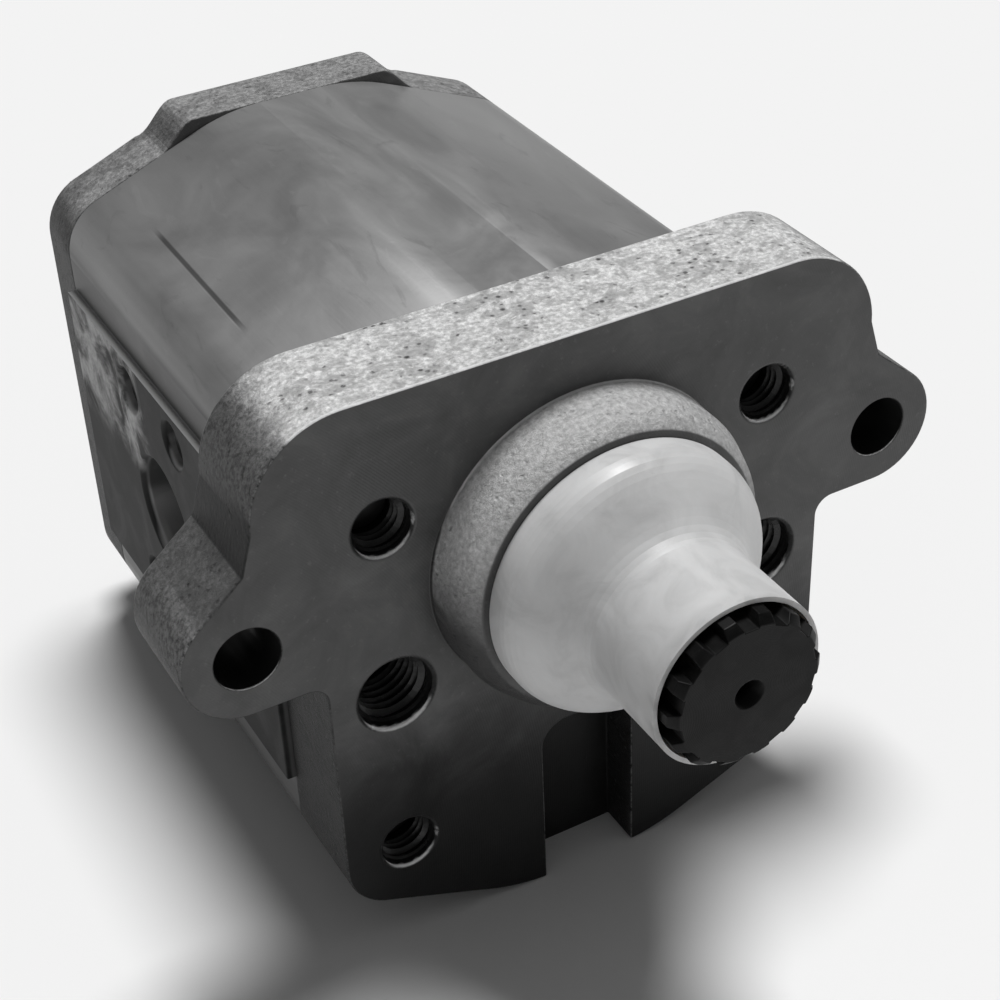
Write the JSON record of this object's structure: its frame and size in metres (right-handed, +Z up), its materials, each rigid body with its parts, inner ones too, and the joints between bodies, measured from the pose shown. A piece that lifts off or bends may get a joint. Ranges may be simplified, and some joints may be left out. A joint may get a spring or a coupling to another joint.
{
  "type": "hydraulic gear pump",
  "caption": "External gear pump with an eared mounting flange, round pilot, splined drive shaft under a bell-shaped guard, and bolted side ports.",
  "frame": {"origin": "centre of the pilot and drive shaft, in the plane of the flange's mounting face", "axes": "-Y is the way the shaft points, +Y runs back to the rear cover, +Z is up, +X is the outlet side"},
  "size_m": [0.173, 0.2119, 0.137],
  "materials": {
    "front_flange": "machined casting with a fine pitted surface",
    "pump_body": "satin extruded",
    "rear_cover": "machined casting with a fine pitted surface",
    "drive_gear_shaft": "ground, oiled",
    "driven_gear_shaft": "ground, oiled",
    "front_bearing_block": "machined",
    "rear_bearing_block": "machined",
    "front_bushes": "bronze with a sliding layer",
    "rear_bushes": "bronze with a sliding layer",
    "front_balance_seal": "black nitrile",
    "front_backup_ring": "ivory plastic",
    "rear_balance_seal": "black nitrile",
    "rear_backup_ring": "ivory plastic",
    "front_body_seal": "black nitrile",
    "rear_body_seal": "black nitrile",
    "shaft_seal_case": "pressed steel",
    "shaft_seal_lip": "brown fluorocarbon rubber",
    "seal_garter_spring": "drawn wire",
    "seal_retaining_ring": "phosphated spring steel",
    "assembly_bolts": "black oxide",
    "bolt_washers": "zinc plated",
    "front_dowels": "ground",
    "rear_dowels": "ground",
    "shaft_guard": "pale moulded plastic"
  },
  "bodies": {
    "housing": {"front_flange": "front_flange", "pump_body": "pump_body", "rear_cover": "rear_cover", "front_bearing_block": "front_bearing_block", "rear_bearing_block": "rear_bearing_block", "front_bushes": "front_bushes", "rear_bushes": "rear_bushes", "front_balance_seal": "front_balance_seal", "front_backup_ring": "front_backup_ring", "rear_balance_seal": "rear_balance_seal", "rear_backup_ring": "rear_backup_ring", "front_body_seal": "front_body_seal", "rear_body_seal": "rear_body_seal", "shaft_seal_case": "shaft_seal_case", "shaft_seal_lip": "shaft_seal_lip", "seal_garter_spring": "seal_garter_spring", "seal_retaining_ring": "seal_retaining_ring", "assembly_bolts": "assembly_bolts", "bolt_washers": "bolt_washers", "front_dowels": "front_dowels", "rear_dowels": "rear_dowels"},
    "drive_shaft": {"drive_gear_shaft": "drive_gear_shaft"},
    "driven_shaft": {"driven_gear_shaft": "driven_gear_shaft"},
    "guard": {"shaft_guard": "shaft_guard"}
  },
  "joints": [
    {"name": "drive_spin", "type": "hinge", "parent": "housing", "child": "drive_shaft", "pos_m": [0, 0, 0], "axis": [0, 1, 0], "continuous": true},
    {"name": "driven_spin", "type": "hinge", "parent": "housing", "child": "driven_shaft", "pos_m": [0, 0, -0.044], "axis": [0, 1, 0], "continuous": true},
    {"name": "guard_pull", "type": "slide", "parent": "housing", "child": "guard", "axis": [0, -1, 0], "range_m": [0, 0.06]}
  ],
  "couplings": [
    {"joint": "driven_spin", "follows": "drive_spin", "ratio": -1}
  ]
}
